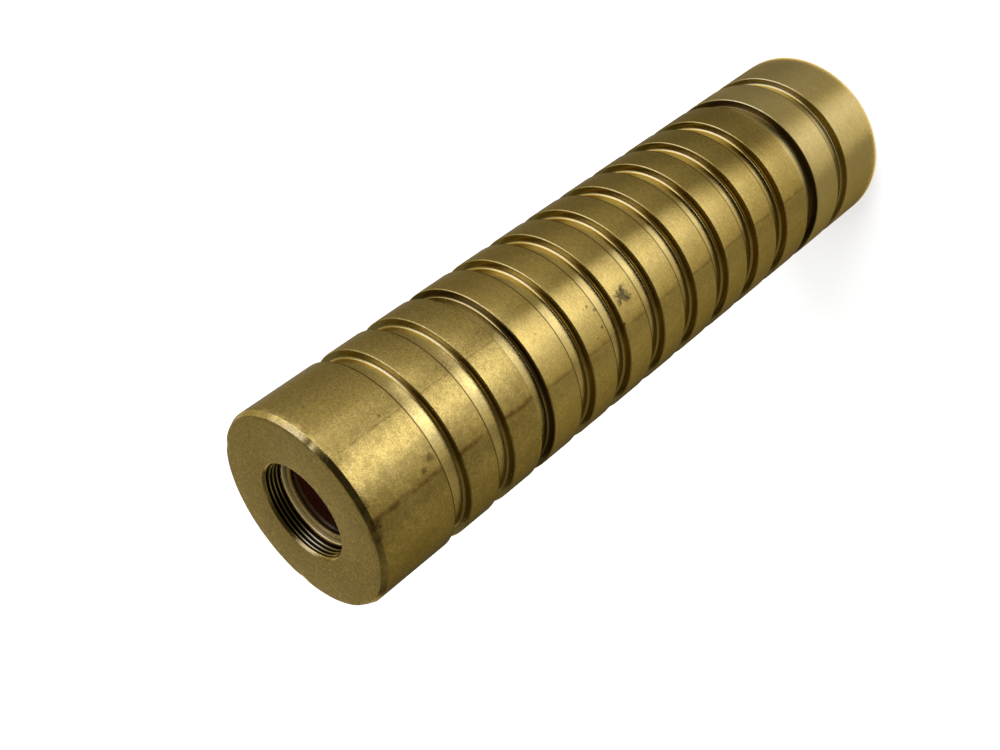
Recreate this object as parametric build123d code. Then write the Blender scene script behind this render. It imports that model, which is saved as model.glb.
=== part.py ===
"""Brass laser pointer: a thick round body in three turned pieces, standing on its tail cap.

Millimetres, +Z up. The Z axis is the optical axis, the origin is the centre of the tail rim,
and the beam leaves upwards through the threaded front of the head.
The fine screw threads are plain cylinders here, at the radius that each value names:
the root radius where the front thread is open, the crest radius where two threads engage.
"""
import os

from build123d import *

# Lengths of the body
cap_len = 14.8              # tail cap, from the rim to its shoulder
cap_neck_len = 2.0          # turned neck that shows between cap and tube
head_len = 26.3             # from the tube's front face to the front of the head
joint_thread_len = 6.0      # screw joints at both ends of the tube
edge_break = 0.12           # broken edges of every groove
front_chamfer = 0.55
tube_rear_chamfer = 0.50
tail_chamfer = 0.30

# Battery cell
cell_r = 8.25
cell_len = 34.5
cell_nub_r = 3.0
cell_nub_h = 1.0
cell_edge_r = 0.6
cell_clearance = 0.25       # cell to tube, on the radius
cell_end_gap = 0.5          # cell to the end of the tail cap's spigot
cell_front_room = 3.9       # cell to the end of the head's spigot

# Walls, from the cell outwards and from the screw joints inwards
joint_step = 1.0            # tube's bore to the wall of its screw joints
body_wall = 2.5             # outside of the screw joints
thread_gap = 0.05           # screwed piece to its wall, on the radius
spigot_wall = 1.95          # spigots of cap and head

# Grip grooves, each with a rounded corner at its floor
groove_w = 2.4
groove_corner_r = 0.35
tube_groove_pitch = 6.45
tube_groove_first = 5.15    # tube's rear face to the first groove
tube_groove_last = 3.0      # least land left in front of the last groove
tube_groove_depth = 1.05
head_groove_count = 2
head_groove_pitch = 6.87
head_groove_first = 6.66    # tube's front face to the head's first groove
head_groove_depth = 1.0
head_step_len = 2.2         # reduced rear end of the head, beside the tube
head_step_depth = 1.0
cap_groove_first = 7.6      # rim to the groove of the tail cap
cap_groove_w = 2.15
cap_groove_depth = 0.9
cap_neck_depth = 1.0

# Seals on the spigots
seal_offset = 0.6           # shoulder to the seal groove
seal_groove_w = 1.1
seal_groove_depth = 0.80
seal_gap = 0.02             # seal to its groove and to the tube

# Boards, and the rings that hold them in the cap and in the head
board_gap = 0.1
board_t = 1.2
keeper_h = 1.6
keeper_w = 1.55
keeper_slot_w = 1.4
keeper_slot_depth = 0.8
keeper_recess = 0.3         # ring in the head, below the end of the spigot
cap_ledge_w = 0.9           # ledge under the switch board
head_ledge_w = 0.5          # ledge over the driver board

# Tail button and switch
button_r = 5.0
button_gap = 0.06
button_recess = 0.8         # button face above the tail rim
button_edge_r = 0.4
button_dish_w = 2.54        # width of the finger dish round the button
button_dish_depth = 2.0
button_travel = 1.2
flange_w = 1.2              # rim that keeps the button in the cap
flange_t = 1.0
cap_wall = 4.0              # end wall of the tail cap
switch_w = 8.2
switch_h = 5.2
switch_floor_t = 1.0
switch_corner = 1.0
switch_room = 0.3           # pressed button to the switch
plunger_r = 1.6
plunger_gap = 0.1
plunger_flange_w = 0.8
plunger_flange_t = 0.8
plunger_room = 0.2          # plunger flange to the chamber wall
terminal_r = 0.4
terminal_gap = 0.05
terminal_edge = 0.5         # terminal hole to the side of the switch
terminal_depth = 0.7        # length in the switch
terminal_top = 0.7          # length above the board

# Springs: wire radius, turns, and the room round the coil
tail_wire_r = 0.40
tail_turns = 4
tail_coil_gap = 0.7         # coil to the ring round it
switch_wire_r = 0.18
switch_turns = 3
switch_coil_gap = 0.32      # coil to the edge of the plunger's flange
focus_wire_r = 0.35
focus_turns = 3
focus_coil_gap = 0.42       # coil to the wall of the bore

# Lens cell in the threaded front bore
port_r = 6.0                # open stretch of the front bore, at the root of its thread
port_depth = 2.05
port_chamfer = 0.25
port_thread_h = 0.33        # root of the thread to its crest
bore_depth = 13.0           # front of the head to the floor under the focus spring
lens_cell_depth = 2.1       # front of the head to the rim of the lens cell
lens_cell_len = 6.0
lens_cell_wall = 0.44
lens_cell_rim_r = 0.18
lens_seat_w = 1.03
lens_gap = 0.08
lens_rim_t = 2.0
lens_front_sag = 0.25
lens_back_sag = 1.2
lens_ring_depth = 0.4       # rim of the lens cell to the ring
lens_ring_t = 0.45
lens_ring_gap = 0.10
lens_ring_w = 0.63

# Diode and its mount
web_t = 2.0                 # wall between the front bore and the mount
web_hole_r = 3.2
mount_gap = 2.2             # inductor on the driver board to the mount
press_gap = 0.01
mount_hole_gap = 0.225      # can to the hole in front of it
diode_seat_depth = 4.0      # front of the mount to the diode's base
diode_base_w = 1.025        # rim of the base outside the can
diode_base_t = 1.2
diode_can_r = 1.775
diode_can_len = 2.3
diode_can_wall = 0.25
diode_window_r = 0.8
clamp_ring_t = 2.0
clamp_ring_w = 0.9
pin_r = 0.225
pin_circle_r = 1.0
pin_hole_gap = 0.1
pin_past_board = 0.4
pin_in_can = 0.575

# Driver board, below the mount
inductor_w = 3.6
inductor_h = 2.0
inductor_flange_t = 0.5
inductor_core_r = 1.4
chip_w = 3.0
chip_h = 0.9
chip_edge = 0.12
part_x = 4.4                # inductor and chip, from the axis
capacitor_len = 2.0
capacitor_w = 1.25
capacitor_h = 0.9
capacitor_y = 4.6
capacitor_end = 0.4         # length of each metal end
capacitor_end_h = 0.05      # how far the ends stand out from the body
contact_r = 2.6
contact_base_w = 1.0
contact_base_t = 0.8
contact_edge = 0.3

# Radii that follow from the sizes
tube_bore_r = cell_r + cell_clearance
joint_thread_r = tube_bore_r + joint_step
body_r = joint_thread_r + body_wall
spigot_r = joint_thread_r - thread_gap
pocket_r = spigot_r - spigot_wall
board_r = pocket_r - board_gap
keeper_r = pocket_r - thread_gap
keeper_hole_r = keeper_r - keeper_w
switch_pocket_r = pocket_r - cap_ledge_w
mount_r = pocket_r - head_ledge_w
button_hole_r = button_r + button_gap
flange_r = button_r + flange_w
plunger_flange_r = plunger_r + plunger_flange_w
terminal_x = switch_w / 2 - terminal_edge - terminal_r
lens_cell_r = port_r - port_thread_h
lens_bore_r = lens_cell_r - lens_cell_wall
lens_r = lens_bore_r - lens_gap
lens_ring_r = lens_bore_r - lens_ring_gap
lens_ring_hole_r = lens_ring_r - lens_ring_w
lens_seat_r = lens_bore_r - lens_seat_w
diode_base_r = diode_can_r + diode_base_w

# Places along the axis that follow from the sizes
tube_len = 2 * joint_thread_len + cell_end_gap + cell_len + cell_front_room
z_tube = cap_len + cap_neck_len
z_head = z_tube + tube_len
z_front = z_head + head_len
z_cap_spigot = z_tube + joint_thread_len
z_head_spigot = z_head - joint_thread_len
z_flange = cap_wall
z_plunger = z_flange + flange_t
z_switch = z_plunger + button_travel + switch_room
z_plunger_flange = z_switch + switch_floor_t
z_switch_spring = z_plunger_flange + plunger_flange_t
z_switch_board = z_switch + switch_h
z_cap_keeper = z_switch_board + board_t
z_cell = z_cap_spigot + cell_end_gap
z_nub = z_cell + cell_len - cell_nub_h
z_head_keeper = z_head_spigot + keeper_recess
z_driver_board = z_head_keeper + keeper_h
z_board_ledge = z_driver_board + board_t
z_bore_floor = z_front - bore_depth
z_mount_top = z_bore_floor - web_t
z_mount = z_board_ledge + inductor_h + mount_gap
z_diode_seat = z_mount_top - diode_seat_depth
z_diode = z_diode_seat - diode_base_t
z_can_top = z_diode_seat + diode_can_len
z_lens_cell_top = z_front - lens_cell_depth
z_lens_cell = z_lens_cell_top - lens_cell_len
z_lens_ring = z_lens_cell_top - lens_ring_depth
z_lens_rim = z_lens_ring - lens_ring_t
z_lens_seat = z_lens_rim - lens_rim_t


def turned(*corners):
    """Solid of revolution about Z, from (radius, height) corners in order."""
    return revolve(make_face(Plane.XZ * Polyline(*corners, close=True)), Axis.Z)


def disc(radius, low, high):
    return Pos(0, 0, low) * Cylinder(radius, high - low, align=(Align.CENTER, Align.CENTER, Align.MIN))


def ring(outer, inner, low, high):
    return disc(outer, low, high) - disc(inner, low, high)


def block(x, y, low, size):
    return Pos(x, y, low) * Box(*size, align=(Align.CENTER, Align.CENTER, Align.MIN))


def circles(part, radius):
    """Circular edges of one radius, in the order of their height."""
    near = part.edges().filter_by(GeomType.CIRCLE).filter_by(lambda e: abs(e.radius - radius) < 1e-4)
    return near.sort_by(Axis.Z)


def groove(low, width, depth):
    """Ring that cuts a grip groove, rounded at the floor of the groove."""
    floor_r = body_r - depth
    corner = min(groove_corner_r, 0.45 * width, 0.9 * depth)
    blank = ring(body_r + 1, floor_r, low, low + width)
    return fillet(circles(blank, floor_r), corner)


def neck(low, high, depth, shoulder_on_top):
    """Ring that turns the body down to a neck, rounded where the neck meets the shoulder."""
    neck_r = body_r - depth
    corner = min(groove_corner_r, 0.45 * (high - low), 0.9 * depth)
    blank = ring(body_r + 1, neck_r, low, high)
    return fillet(circles(blank, neck_r)[-1 if shoulder_on_top else 0], corner)


def seal_groove(shoulder, side):
    """Seal groove in a spigot; side is +1 where the spigot points up and -1 where it points down."""
    near = shoulder + side * seal_offset
    far = near + side * seal_groove_w
    return ring(spigot_r + 1, spigot_r - seal_groove_depth, min(near, far), max(near, far))


def seal(shoulder, side):
    """Round rubber ring that fills the seal groove of a spigot."""
    inner = spigot_r - seal_groove_depth
    centre_r = (inner + joint_thread_r) / 2
    section_r = (joint_thread_r - inner) / 2 - seal_gap
    centre_z = shoulder + side * (seal_offset + seal_groove_w / 2)
    return Pos(0, 0, centre_z) * Torus(centre_r, section_r)


def coil(wire_r, coil_r, turns, low, high):
    """Compression spring of round wire that just fits between two heights."""
    rise = high - low - 2 * wire_r
    path = Pos(0, 0, low + wire_r) * Helix(pitch=rise / turns, height=rise, radius=coil_r)
    section = Plane(origin=path @ 0, z_dir=path % 0) * Circle(wire_r)
    return sweep(section, path=path, is_frenet=True)


def keeper(low, slots_up):
    """Threaded ring with two spanner slots that holds a board on its ledge."""
    body = ring(keeper_r, keeper_hole_r, low, low + keeper_h)
    slot_z = low + keeper_h - keeper_slot_depth if slots_up else low
    return body - block(0, 0, slot_z, (2 * keeper_r + 1, keeper_slot_w, keeper_slot_depth))


def one_solid(shape):
    found = shape.solids()
    return found[0] if len(found) == 1 else Compound(children=list(found))


def head():
    body = disc(body_r, z_head, z_front)
    body = chamfer(circles(body, body_r)[-1], front_chamfer)
    body -= neck(z_head, z_head + head_step_len, head_step_depth, shoulder_on_top=True)
    for i in range(head_groove_count):
        low = z_head + head_groove_first + i * head_groove_pitch
        body -= groove(low, groove_w, head_groove_depth)
    body = chamfer(circles(body, body_r)[:-1], edge_break)
    body += disc(spigot_r, z_head_spigot, z_head + head_step_len / 2)
    body -= seal_groove(z_head, -1)
    body -= disc(pocket_r, z_head_spigot, z_board_ledge)
    body -= disc(mount_r, z_board_ledge, z_mount_top)
    body -= disc(web_hole_r, z_mount_top, z_bore_floor)
    body -= disc(lens_cell_r + thread_gap, z_bore_floor, z_front)
    body -= disc(port_r, z_front - port_depth, z_front)
    return chamfer(circles(body, port_r)[-1], port_chamfer)


def battery_tube():
    body = disc(body_r, z_tube, z_head)
    body = chamfer(circles(body, body_r)[0], tube_rear_chamfer)
    room = tube_len - tube_groove_first - groove_w - tube_groove_last
    for i in range(int(room // tube_groove_pitch) + 1):
        low = z_tube + tube_groove_first + i * tube_groove_pitch
        body -= groove(low, groove_w, tube_groove_depth)
    body = chamfer(circles(body, body_r)[1:], edge_break)
    body -= disc(tube_bore_r, z_tube, z_head)
    body -= disc(joint_thread_r, z_tube, z_cap_spigot)
    body -= disc(joint_thread_r, z_head_spigot, z_head)
    return body


def tail_cap():
    body = disc(body_r, 0, z_tube)
    body = chamfer(circles(body, body_r)[0], tail_chamfer)
    body -= neck(cap_len, z_tube, cap_neck_depth, shoulder_on_top=False)
    body -= groove(cap_groove_first, cap_groove_w, cap_groove_depth)
    body = chamfer(circles(body, body_r)[1:], edge_break)
    body += disc(spigot_r, cap_len + cap_neck_len / 2, z_cap_spigot)
    body -= seal_groove(z_tube, +1)
    dish_r = button_hole_r + button_dish_w
    body -= turned((0, 0), (dish_r, 0), (button_hole_r, button_dish_depth), (0, button_dish_depth))
    body -= disc(button_hole_r, 0, z_flange)
    body -= disc(switch_pocket_r, z_flange, z_switch_board)
    body -= disc(pocket_r, z_switch_board, z_cap_spigot)
    return body


def lens_cell():
    """Threaded barrel that the user turns to focus; its bore holds the lens and its ring."""
    body = disc(lens_cell_r, z_lens_cell, z_lens_cell_top)
    body -= disc(lens_bore_r, z_lens_seat, z_lens_cell_top)
    body -= disc(lens_seat_r, z_lens_cell, z_lens_seat)
    rim = [circles(body, r)[-1] for r in (lens_bore_r, lens_cell_r)]
    return fillet(rim, lens_cell_rim_r)


def lens_ring():
    return ring(lens_ring_r, lens_ring_hole_r, z_lens_rim, z_lens_ring)


def lens():
    """Collimating lens: two curved faces on a cylindrical rim."""
    optic_r = lens_ring_hole_r - lens_gap
    seat_r = lens_seat_r - lens_gap
    front = (0, z_lens_rim + lens_front_sag)
    back = (0, z_lens_seat - lens_back_sag)
    rim = [(optic_r, z_lens_rim), (lens_r, z_lens_rim), (lens_r, z_lens_seat), (seat_r, z_lens_seat)]
    outline = Line(back, front) + Polyline(*rim)
    outline += TangentArc(front, rim[0], tangent=(1, 0))
    outline += TangentArc(back, rim[-1], tangent=(1, 0))
    return revolve(make_face(Plane.XZ * outline), Axis.Z)


def focus_spring():
    coil_r = lens_cell_r + thread_gap - focus_coil_gap - focus_wire_r
    return coil(focus_wire_r, coil_r, focus_turns, z_bore_floor, z_lens_cell)


def diode_mount():
    body = disc(mount_r - press_gap, z_mount, z_mount_top)
    body -= disc(diode_can_r + mount_hole_gap, z_diode_seat, z_mount_top)
    return body - disc(diode_base_r + press_gap, z_mount, z_diode_seat)


def pin_places():
    return PolarLocations(pin_circle_r, 3, start_angle=90)


def laser_diode():
    """Metal base and can, with a window hole in front and three pin holes in the base."""
    body = disc(diode_base_r, z_diode, z_diode_seat) + disc(diode_can_r, z_diode_seat, z_can_top)
    body -= disc(diode_can_r - diode_can_wall, z_diode_seat, z_can_top - diode_can_wall)
    body -= disc(diode_window_r, z_diode_seat, z_can_top)
    for place in pin_places():
        body -= place * disc(pin_r, z_diode, z_diode_seat)
    return body


def diode_window():
    return disc(diode_window_r, z_can_top - diode_can_wall, z_can_top)


def diode_pins():
    pin = disc(pin_r, z_driver_board - pin_past_board, z_diode_seat + pin_in_can)
    return Compound(children=[one_solid(place * pin) for place in pin_places()])


def diode_clamp_ring():
    return ring(diode_base_r, diode_base_r - clamp_ring_w, z_diode - clamp_ring_t, z_diode)


def driver_board():
    body = disc(board_r, z_driver_board, z_board_ledge)
    for place in pin_places():
        body -= place * disc(pin_r + pin_hole_gap, z_driver_board, z_board_ledge)
    return body


def driver_inductor():
    """Drum core between two square flanges, standing on the board."""
    flange = (inductor_w, inductor_w, inductor_flange_t)
    top = z_board_ledge + inductor_h
    body = block(-part_x, 0, z_board_ledge, flange) + block(-part_x, 0, top - inductor_flange_t, flange)
    return body + Pos(-part_x, 0, 0) * disc(inductor_core_r, z_board_ledge, top)


def driver_chip():
    body = block(part_x, 0, z_board_ledge, (chip_w, chip_w, chip_h))
    return chamfer(body.faces().sort_by(Axis.Z)[-1].edges(), chip_edge)


def driver_capacitors():
    body_len = capacitor_len - 2 * capacitor_end
    body_size = (body_len, capacitor_w - 2 * capacitor_end_h, capacitor_h - capacitor_end_h)
    solids = []
    for y in (-capacitor_y, capacitor_y):
        body = block(0, y, z_board_ledge, body_size)
        for x in (-1, 1):
            middle = x * (body_len + capacitor_end) / 2
            body += block(middle, y, z_board_ledge, (capacitor_end, capacitor_w, capacitor_h))
        solids.append(one_solid(body))
    return Compound(children=solids)


def positive_contact():
    """Turned post under the driver board that the cell's nub presses on."""
    base = z_driver_board - contact_base_t
    body = disc(contact_r + contact_base_w, base, z_driver_board) + disc(contact_r, z_nub + cell_nub_h, base)
    pins_r = pin_circle_r + pin_r + pin_hole_gap
    body -= disc(pins_r, z_driver_board - pin_past_board, z_driver_board)
    return chamfer(circles(body, contact_r)[0], contact_edge)


def battery_cell():
    """Sealed cell with its raised positive end, as one piece."""
    body = disc(cell_r, z_cell, z_nub)
    body = fillet(circles(body, cell_r), cell_edge_r)
    return body + disc(cell_nub_r, z_nub, z_nub + cell_nub_h)


def tail_button():
    body = disc(button_r, button_recess, z_flange) + disc(flange_r, z_flange, z_flange + flange_t)
    return fillet(circles(body, button_r)[0], button_edge_r)


def switch_plunger():
    return disc(plunger_r, z_plunger, z_switch_spring) + disc(plunger_flange_r, z_plunger_flange, z_switch_spring)


def terminal_places():
    return [Pos(x, 0, 0) for x in (-terminal_x, terminal_x)]


def switch_housing():
    body = block(0, 0, z_switch, (switch_w, switch_w, switch_h))
    body = chamfer(body.edges().filter_by(Axis.Z), switch_corner)
    body -= disc(plunger_r + plunger_gap, z_switch, z_switch_board)
    body -= disc(plunger_flange_r + plunger_room, z_plunger_flange, z_switch_board)
    for place in terminal_places():
        body -= place * disc(terminal_r + terminal_gap, z_switch_board - terminal_depth, z_switch_board)
    return body


def switch_terminals():
    pin = disc(terminal_r, z_switch_board - terminal_depth, z_cap_keeper + terminal_top)
    return Compound(children=[one_solid(place * pin) for place in terminal_places()])


def switch_board():
    body = disc(board_r, z_switch_board, z_cap_keeper)
    for place in terminal_places():
        body -= place * disc(terminal_r + terminal_gap, z_switch_board, z_cap_keeper)
    return body


def switch_spring():
    coil_r = plunger_flange_r - switch_coil_gap - switch_wire_r
    return coil(switch_wire_r, coil_r, switch_turns, z_switch_spring, z_switch_board)


def tail_spring():
    coil_r = keeper_hole_r - tail_coil_gap - tail_wire_r
    return coil(tail_wire_r, coil_r, tail_turns, z_cap_keeper, z_cell)


PIECES = {
    "head": head,
    "battery_tube": battery_tube,
    "tail_cap": tail_cap,
    "lens_cell": lens_cell,
    "lens_ring": lens_ring,
    "collimating_lens": lens,
    "focus_spring": focus_spring,
    "diode_mount": diode_mount,
    "laser_diode": laser_diode,
    "diode_window": diode_window,
    "diode_pins": diode_pins,
    "diode_clamp_ring": diode_clamp_ring,
    "driver_board": driver_board,
    "driver_inductor": driver_inductor,
    "driver_chip": driver_chip,
    "driver_capacitors": driver_capacitors,
    "board_keeper": lambda: keeper(z_head_keeper, slots_up=False),
    "positive_contact": positive_contact,
    "head_seal": lambda: seal(z_head, -1),
    "battery_cell": battery_cell,
    "tail_seal": lambda: seal(z_tube, +1),
    "tail_spring": tail_spring,
    "switch_keeper": lambda: keeper(z_cap_keeper, slots_up=True),
    "switch_board": switch_board,
    "switch_terminals": switch_terminals,
    "switch_housing": switch_housing,
    "switch_spring": switch_spring,
    "switch_plunger": switch_plunger,
    "tail_button": tail_button,
}

os.makedirs("parts", exist_ok=True)
for name, make in PIECES.items():
    export_step(one_solid(make()), f"parts/{name}.step")
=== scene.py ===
"""Brass laser pointer standing on its tail cap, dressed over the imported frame."""
from math import atan2, cos, degrees, exp, pi, radians, sin, tan

import bmesh
import bpy
from mathutils import Matrix, Vector


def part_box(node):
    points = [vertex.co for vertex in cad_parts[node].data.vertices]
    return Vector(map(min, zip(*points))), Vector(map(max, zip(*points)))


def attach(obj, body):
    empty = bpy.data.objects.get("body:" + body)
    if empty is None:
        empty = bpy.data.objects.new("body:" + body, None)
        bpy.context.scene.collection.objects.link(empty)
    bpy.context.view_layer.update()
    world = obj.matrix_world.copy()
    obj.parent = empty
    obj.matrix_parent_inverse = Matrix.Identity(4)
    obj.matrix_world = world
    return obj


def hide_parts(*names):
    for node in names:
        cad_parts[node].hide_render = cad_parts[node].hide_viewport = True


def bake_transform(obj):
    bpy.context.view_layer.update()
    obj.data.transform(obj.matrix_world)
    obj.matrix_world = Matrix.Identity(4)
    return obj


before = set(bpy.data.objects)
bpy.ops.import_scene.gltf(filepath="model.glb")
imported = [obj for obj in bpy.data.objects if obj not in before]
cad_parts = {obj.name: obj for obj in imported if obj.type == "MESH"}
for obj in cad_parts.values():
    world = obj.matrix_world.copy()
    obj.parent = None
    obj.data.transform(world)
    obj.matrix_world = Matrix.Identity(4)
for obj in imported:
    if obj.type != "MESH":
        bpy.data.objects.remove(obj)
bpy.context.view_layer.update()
MM = 0.001
scene = bpy.context.scene

# Camera, fitted to the outline of the object in the photo
camera = bpy.data.objects.new("camera", bpy.data.cameras.new("camera"))
scene.collection.objects.link(camera)
scene.camera = camera
camera.data.sensor_width = 36
camera.data.lens = 49.85
camera.data.clip_start = 0.01
camera_right = Vector((-0.60008, -0.44394, -0.66544))
camera_up = Vector((0.79991, -0.32614, -0.50376))
camera_back = camera_right.cross(camera_up)
place = Matrix((camera_right, camera_up, camera_back)).transposed().to_4x4()
place.translation = Vector((-0.77e-6, -0.13278, 0.15193))
camera.matrix_world = place


# Sizes of the frame's pieces, in millimetres
def extent(node):
    """Lowest height, highest height and radius of a round piece of the frame."""
    lowest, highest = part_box(node)
    return [round(c / MM, 2) for c in (lowest[2], highest[2], highest[0])]


CAP_LOW, CAP_HIGH, BODY_R = extent("tail_cap")
TUBE_LOW, TUBE_HIGH, _ = extent("battery_tube")
HEAD_LOW, FRAME_FACE, _ = extent("head")
CELL_LOW, CELL_HIGH, CELL_R = extent("lens_cell")
LENS_BACK, LENS_FRONT, LENS_R = extent("collimating_lens")
BUTTON_LOW, BUTTON_HIGH, BUTTON_FLANGE_R = extent("tail_button")
SWITCH_BOARD_LOW = extent("switch_board")[0]
DRIVER_BOARD_HIGH = extent("driver_board")[1]
MOUNT_HIGH = extent("diode_mount")[1]
FRONT_BORE_LOW = extent("focus_spring")[0]

# Sizes that the frame's boxes don't hold, in millimetres
SPIGOT_R = 9.45                 # the ends of head and cap that screw into the tube
JOINT_R = 9.5                   # the tube's screw joints
TUBE_BORE_R = 8.5
POCKET_R = 7.5                  # inside the spigots
SEAL_R = 8.65                   # floor of the seal grooves
SEAL_FROM_SHOULDER = 0.6
SEAL_WIDTH = 1.1
STEP_R = 11.0                   # reduced stretch of head and cap beside the tube
HEAD_SHOULDER = TUBE_HIGH + 2.2
CAP_SHOULDER = TUBE_LOW - 2.0
GROOVE_WIDTH = 2.4
HEAD_GROOVE_R = 11.0
TUBE_GROOVE_R = 10.95
CAP_GROOVE_WIDTH = 2.15
CAP_GROOVE_R = 11.1
HEAD_GROOVES = (TUBE_HIGH + 6.66, TUBE_HIGH + 13.53)
TUBE_GROOVES = [TUBE_LOW + 5.15 + 6.45 * k for k in range(7)]
CAP_GROOVES = (CAP_LOW + 7.6,)
FACE = FRAME_FACE + 0.12        # front of the head, as measured on the photo
BEVEL_LOW = FACE - 0.64
BEVEL_WIDTH = 0.34
PORT_R = 6.0                    # root of the port's thread
PORT_CREST_R = 5.72
PORT_PITCH = 0.5
PORT_LOW = 91.95
MOUNT_BORE_R = 7.0
WEB_HOLE_R = 3.2
LENS_SEAT = 89.05
LENS_SEAT_R = 4.2
CELL_RIM = 0.22                 # width of the lens cell's rim
RING_R = 5.30
RING_HOLE_R = 4.74
RING_LOW = 91.3
RING_HIGH = CELL_HIGH - 0.38
BUTTON_R = 5.0
BUTTON_HOLE_R = 5.06
CAP_WALL = 4.0                  # end wall that holds the button's flange
DISH_R = 7.6                    # finger dish round the button
DISH_DEPTH = 2.0
SWITCH_ROOM_R = 6.6


# Meshes
def rounded(corners):
    """Closed outline from (radius, height, rounding) corners, with the roundings as points."""
    steps = 5
    points = []
    count = len(corners)
    for i, corner in enumerate(corners):
        here = Vector(corner[:2])
        size = corner[2] if len(corner) > 2 else 0
        if not size:
            points.append(here)
            continue
        before = (Vector(corners[i - 1][:2]) - here).normalized()
        after = (Vector(corners[(i + 1) % count][:2]) - here).normalized()
        half = before.angle(after) / 2
        length = size / tan(half)
        middle = here + (before + after).normalized() * size / sin(half)
        first = here + before * length - middle
        last = here + after * length - middle
        for k in range(steps + 1):
            turn = first.lerp(last, k / steps).normalized() * size
            points.append(middle + turn)
    return points


def mesh_object(name, vertices, faces, sharp=35, weld=True):
    """Object from millimetres, smooth except at edges sharper than an angle in degrees."""
    mesh = bpy.data.meshes.new(name)
    mesh.from_pydata([[c * MM for c in v] for v in vertices], [], faces)
    work = bmesh.new()
    work.from_mesh(mesh)
    if weld:
        bmesh.ops.remove_doubles(work, verts=work.verts, dist=1e-8)
    bmesh.ops.recalc_face_normals(work, faces=work.faces)
    work.to_mesh(mesh)
    work.free()
    mesh.shade_smooth()
    mesh.set_sharp_from_angle(angle=radians(sharp))
    made = bpy.data.objects.new(name, mesh)
    scene.collection.objects.link(made)
    return made


def lathe(name, corners, segments=256, closed=True):
    """Solid of revolution of a closed outline; an outline that ends on the axis may stay open."""
    outline = rounded(corners)
    count = len(outline)
    vertices = []
    for s in range(segments):
        turn = 2 * pi * s / segments
        vertices += [(p[0] * cos(turn), p[0] * sin(turn), p[1]) for p in outline]
    faces = []
    for s in range(segments):
        a, b = s * count, (s + 1) % segments * count
        for i in range(count if closed else count - 1):
            j = (i + 1) % count
            faces.append((a + i, a + j, b + j, b + i))
    return mesh_object(name, vertices, faces)


def grooves(lows, width, floor_r):
    """Outline of grip grooves in the outer side, each from its low edge."""
    points = []
    for low in lows:
        points += [(BODY_R, low, 0.16), (floor_r, low, 0.30),
                   (floor_r, low + width, 0.35), (BODY_R, low + width, 0.12)]
    return points


def seal_groove(low, high):
    """Outline of the groove for a seal, in the outside of a spigot."""
    return [(SPIGOT_R, low), (SEAL_R, low), (SEAL_R, high), (SPIGOT_R, high)]


def nicks(thing, spots):
    """Small dents in the head's front edge: angle in degrees, width along it, depth in mm."""
    for v in thing.data.vertices:
        x, y, z = (c / MM for c in v.co)
        radius = (x * x + y * y) ** 0.5
        if z < BEVEL_LOW - 0.18 or radius < BODY_R - 0.55:
            continue
        angle = degrees(atan2(-x, -y))
        deep = max(d * exp(-(radians(angle - a) * BODY_R / w) ** 2) for a, w, d in spots)
        v.co.x -= x / radius * deep * MM
        v.co.y -= y / radius * deep * MM
        v.co.z -= 0.7 * deep * MM


# The corners with no rounding on the side and the face keep the dents near the bevel
head_seal_high = TUBE_HIGH - SEAL_FROM_SHOULDER
head = lathe("head_turned", [
    (SPIGOT_R, HEAD_LOW, 0.15), *seal_groove(head_seal_high - SEAL_WIDTH, head_seal_high),
    (SPIGOT_R, TUBE_HIGH), (STEP_R, TUBE_HIGH), (STEP_R, HEAD_SHOULDER, 0.35),
    (BODY_R, HEAD_SHOULDER, 0.12),
    *grooves(HEAD_GROOVES, GROOVE_WIDTH, HEAD_GROOVE_R),
    (BODY_R, BEVEL_LOW - 0.58), (BODY_R, BEVEL_LOW - 0.28), (BODY_R, BEVEL_LOW, 0.10),
    (BODY_R - BEVEL_WIDTH, FACE, 0.06), (BODY_R - 0.6, FACE), (BODY_R - 0.9, FACE),
    (PORT_R + 0.03, FACE, 0.03), (PORT_R - 0.20, FACE - 0.20), (PORT_R - 0.24, FACE - 0.32),
    (PORT_R, FACE - 0.44), (PORT_R, PORT_LOW), (PORT_CREST_R, PORT_LOW),
    (PORT_CREST_R, FRONT_BORE_LOW), (WEB_HOLE_R, FRONT_BORE_LOW), (WEB_HOLE_R, MOUNT_HIGH),
    (MOUNT_BORE_R, MOUNT_HIGH), (MOUNT_BORE_R, DRIVER_BOARD_HIGH), (POCKET_R, DRIVER_BOARD_HIGH),
    (POCKET_R, HEAD_LOW)])
nicks(head, ((-60, 0.9, 0.05), (-47, 1.1, 0.04), (-36, 0.7, 0.06), (-24, 0.40, 0.06), (-9, 0.8, 0.03),
             (14, 1.0, 0.04), (31, 0.8, 0.06), (57, 0.9, 0.04), (-115, 0.7, 0.06), (95, 0.9, 0.06),
             (150, 0.7, 0.07)))

# A thin lip closes the gap between the tube's front and the step of the head
tube = lathe("tube_turned", [
    (BODY_R - 0.5, TUBE_LOW, 0.06), (BODY_R, TUBE_LOW + 0.5, 0.06),
    *grooves(TUBE_GROOVES, GROOVE_WIDTH, TUBE_GROOVE_R),
    (BODY_R, TUBE_HIGH, 0.16), (STEP_R + 0.02, TUBE_HIGH, 0.28), (STEP_R + 0.02, TUBE_HIGH + 0.32),
    (STEP_R + 0.005, TUBE_HIGH), (JOINT_R, TUBE_HIGH), (JOINT_R, HEAD_LOW),
    (TUBE_BORE_R, HEAD_LOW), (TUBE_BORE_R, CAP_HIGH), (JOINT_R, CAP_HIGH), (JOINT_R, TUBE_LOW)])

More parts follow.
